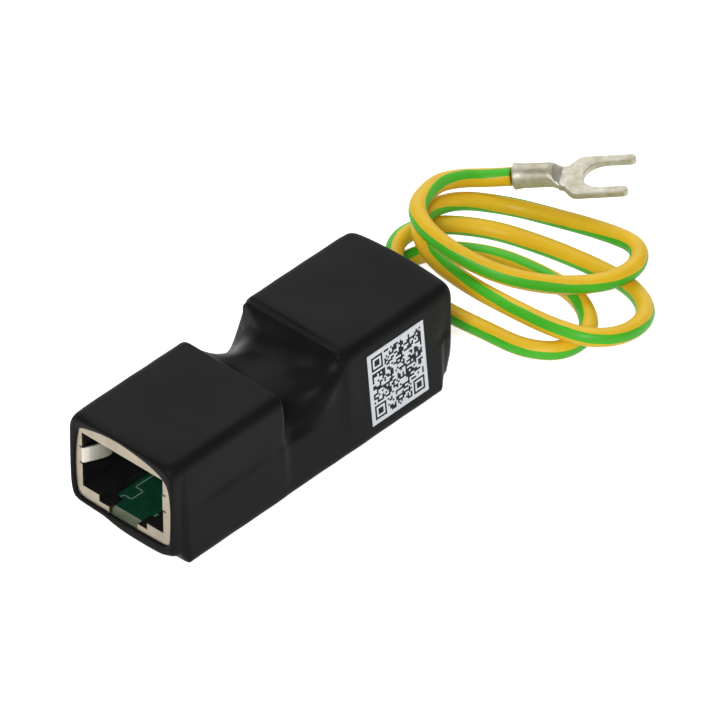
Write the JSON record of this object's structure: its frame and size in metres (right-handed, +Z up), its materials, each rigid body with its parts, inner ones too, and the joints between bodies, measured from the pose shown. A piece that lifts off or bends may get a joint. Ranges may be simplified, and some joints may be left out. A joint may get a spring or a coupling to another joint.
{
  "type": "ethernet surge protector",
  "caption": "Inline network surge protector: shielded sockets back to back in a black shrunk sleeve, with a striped earth wire that ends in an open fork terminal.",
  "frame": {"origin": "on the floor under the middle of the circuit board", "axes": "+Y from the front socket to the rear socket and the earth wire, +X to the right seen from the front, +Z up"},
  "size_m": [0.0327, 0.0828, 0.0141],
  "materials": {
    "sleeve_film": "satin black shrunk film",
    "label_paper": "matt white paper with a dark printed pattern",
    "board_laminate": "green solder mask over pale glass laminate",
    "tube_ceramic": "matt white ceramic",
    "tinned_metal": "dull tin plating",
    "component_case": "matt black moulding",
    "wire_cover": "satin yellow and green plastic",
    "wire_copper": "bright copper strands",
    "terminal_metal": "dull tin plating with light stains",
    "socket_metal": "fine brushed nickel plate",
    "socket_plastic": "black moulded plastic",
    "contact_gold": "gold flash"
  },
  "bodies": {
    "root": {"circuit_board": "board_laminate", "clamp_diodes": "component_case", "diode_leads": "tinned_metal", "earth_copper": "wire_copper", "earth_lug": "tinned_metal", "earth_strands": "wire_copper", "earth_wire": "wire_cover", "earth_wire_inside": "wire_cover", "fork_terminal": "terminal_metal", "front_contact_block": "socket_plastic", "front_contacts": "contact_gold", "front_housing": "socket_plastic", "front_shield": "socket_metal", "front_solder": "tinned_metal", "front_springs": "socket_metal", "gas_tube_caps": "tinned_metal", "gas_tubes": "tube_ceramic", "label": "label_paper", "rear_contact_block": "socket_plastic", "rear_contacts": "contact_gold", "rear_housing": "socket_plastic", "rear_shield": "socket_metal", "rear_solder": "tinned_metal", "rear_springs": "socket_metal", "resistor_ends": "tinned_metal", "sleeve": "sleeve_film", "surge_resistors": "component_case"}
  },
  "joints": []
}
